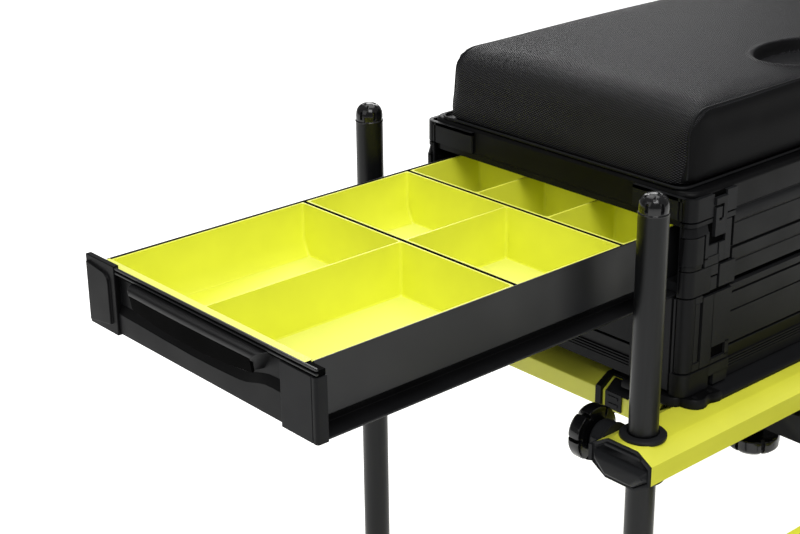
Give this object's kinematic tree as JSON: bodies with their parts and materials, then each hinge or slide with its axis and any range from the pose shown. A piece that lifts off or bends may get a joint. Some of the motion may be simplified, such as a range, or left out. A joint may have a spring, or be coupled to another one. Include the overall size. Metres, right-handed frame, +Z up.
{
  "type": "fishing seat box",
  "caption": "Legged angling seat box with a padded hinged lid, a tray drawer that slides out at one end, clamped telescopic legs and a sliding footplate.",
  "frame": {"origin": "middle of the bottom of the bounding box, on the ground under the feet", "axes": "+Z up, -Y towards the footplate where the angler's feet go, -X the way the drawer pulls out"},
  "size_m": [1.35, 0.938, 0.804],
  "materials": {
    "black_alloy": "satin black anodised",
    "black_plastic": "fine moulded texture",
    "gloss_black": "semi gloss",
    "lime_alloy": "satin lime powder coat",
    "lime_plastic": "semi matt",
    "seat_vinyl": "fine diamond embossed",
    "steel": "dark"
  },
  "bodies": {
    "frame": {"front_beam": "lime_alloy", "rear_beam": "lime_alloy", "cross_beam_left": "lime_alloy", "cross_beam_right": "lime_alloy", "beam_end_front_left": "black_plastic", "beam_end_rear_left": "black_plastic", "beam_end_front_right": "black_plastic", "beam_end_rear_right": "black_plastic", "corner_bracket_front_left": "black_plastic", "corner_bracket_rear_left": "black_plastic", "corner_bracket_front_right": "black_plastic", "corner_bracket_rear_right": "black_plastic", "rail_carrier": "black_plastic", "lower_tub": "black_plastic", "upper_shell": "black_plastic", "corner_post_front_left": "black_plastic", "corner_post_rear_left": "black_plastic", "corner_post_front_right": "black_plastic", "corner_post_rear_right": "black_plastic", "hinge_box": "steel"},
    "lid": {"lid_frame": "black_plastic", "hinge_lid": "steel", "cushion": "seat_vinyl", "lid_corner_front_left": "black_plastic", "lid_corner_rear_left": "black_plastic", "lid_corner_front_right": "black_plastic", "lid_corner_rear_right": "black_plastic"},
    "drawer": {"drawer_tub": "black_alloy", "drawer_panel": "black_alloy", "drawer_cap_front": "black_plastic", "drawer_cap_rear": "black_plastic", "drawer_handle": "black_plastic", "tray_outer": "lime_plastic", "tray_middle": "lime_plastic", "tray_inner": "lime_plastic"},
    "footplate": {"plate_frame": "lime_alloy", "plate_deck": "black_plastic", "rail_left": "black_alloy", "rail_right": "black_alloy"},
    "leg_front_left": {"leg_tube_front_left": "black_alloy", "leg_cap_front_left": "gloss_black"},
    "leg_knob_front_left": {"leg_knob_front_left": "black_plastic"},
    "leg_rear_left": {"leg_tube_rear_left": "black_alloy", "leg_cap_rear_left": "gloss_black"},
    "leg_knob_rear_left": {"leg_knob_rear_left": "black_plastic"},
    "leg_front_right": {"leg_tube_front_right": "black_alloy", "leg_cap_front_right": "gloss_black"},
    "leg_knob_front_right": {"leg_knob_front_right": "black_plastic"},
    "leg_rear_right": {"leg_tube_rear_right": "black_alloy", "leg_cap_rear_right": "gloss_black"},
    "leg_knob_rear_right": {"leg_knob_rear_right": "black_plastic"},
    "latch_left": {"latch_left": "black_plastic"},
    "rail_knob_left": {"rail_knob_left": "black_plastic"},
    "plate_leg_left": {"plate_leg_left": "black_alloy"},
    "plate_knob_left": {"plate_knob_left": "black_plastic"},
    "latch_right": {"latch_right": "black_plastic"},
    "rail_knob_right": {"rail_knob_right": "black_plastic"},
    "plate_leg_right": {"plate_leg_right": "black_alloy"},
    "plate_knob_right": {"plate_knob_right": "black_plastic"}
  },
  "joints": [
    {"name": "drawer_slide", "type": "slide", "parent": "frame", "child": "drawer", "axis": [1, 0, 0], "range_m": [0, 0.5345]},
    {"name": "lid_hinge", "type": "hinge", "parent": "frame", "child": "lid", "pos_m": [0.215, 0.41505, 0.668], "axis": [-1, 0, 0], "range_deg": [0, 95]},
    {"name": "footplate_slide", "type": "slide", "parent": "frame", "child": "footplate", "axis": [0, -1, 0], "range_m": [-0.068, 0.15]},
    {"name": "leg_slide_front_left", "type": "slide", "parent": "frame", "child": "leg_front_left", "axis": [0, 0, 1], "range_m": [-0.26, 0.33]},
    {"name": "leg_knob_turn_front_left", "type": "hinge", "parent": "frame", "child": "leg_knob_front_left", "pos_m": [-0.19, 0.01105, 0.40465], "axis": [0, 1, 0], "range_deg": [0, 180]},
    {"name": "leg_slide_rear_left", "type": "slide", "parent": "frame", "child": "leg_rear_left", "axis": [0, 0, 1], "range_m": [-0.26, 0.33]},
    {"name": "leg_knob_turn_rear_left", "type": "hinge", "parent": "frame", "child": "leg_knob_rear_left", "pos_m": [-0.19, 0.35105, 0.40465], "axis": [0, -1, 0], "range_deg": [0, 180]},
    {"name": "leg_slide_front_right", "type": "slide", "parent": "frame", "child": "leg_front_right", "axis": [0, 0, 1], "range_m": [-0.26, 0.33]},
    {"name": "leg_knob_turn_front_right", "type": "hinge", "parent": "frame", "child": "leg_knob_front_right", "pos_m": [0.62, 0.01105, 0.40465], "axis": [0, 1, 0], "range_deg": [0, 180]},
    {"name": "leg_slide_rear_right", "type": "slide", "parent": "frame", "child": "leg_rear_right", "axis": [0, 0, 1], "range_m": [-0.26, 0.33]},
    {"name": "leg_knob_turn_rear_right", "type": "hinge", "parent": "frame", "child": "leg_knob_rear_right", "pos_m": [0.62, 0.35105, 0.40465], "axis": [0, -1, 0], "range_deg": [0, 180]},
    {"name": "latch_slide_left", "type": "slide", "parent": "frame", "child": "latch_left", "axis": [0, 0, 1], "range_m": [-0.01, 0]},
    {"name": "rail_knob_turn_left", "type": "hinge", "parent": "frame", "child": "rail_knob_left", "pos_m": [0.095, -0.01595, 0.315], "axis": [0, 0, -1], "range_deg": [0, 180]},
    {"name": "plate_leg_slide_left", "type": "slide", "parent": "footplate", "child": "plate_leg_left", "axis": [0, 0, 1], "range_m": [-0.05, 0.2]},
    {"name": "plate_knob_turn_left", "type": "hinge", "parent": "footplate", "child": "plate_knob_left", "pos_m": [-0.103, -0.43895, 0.265], "axis": [-1, 0, 0], "range_deg": [0, 180]},
    {"name": "latch_slide_right", "type": "slide", "parent": "frame", "child": "latch_right", "axis": [0, 0, 1], "range_m": [-0.01, 0]},
    {"name": "rail_knob_turn_right", "type": "hinge", "parent": "frame", "child": "rail_knob_right", "pos_m": [0.335, -0.01595, 0.315], "axis": [0, 0, -1], "range_deg": [0, 180]},
    {"name": "plate_leg_slide_right", "type": "slide", "parent": "footplate", "child": "plate_leg_right", "axis": [0, 0, 1], "range_m": [-0.05, 0.2]},
    {"name": "plate_knob_turn_right", "type": "hinge", "parent": "footplate", "child": "plate_knob_right", "pos_m": [0.533, -0.43895, 0.265], "axis": [1, 0, 0], "range_deg": [0, 180]}
  ]
}
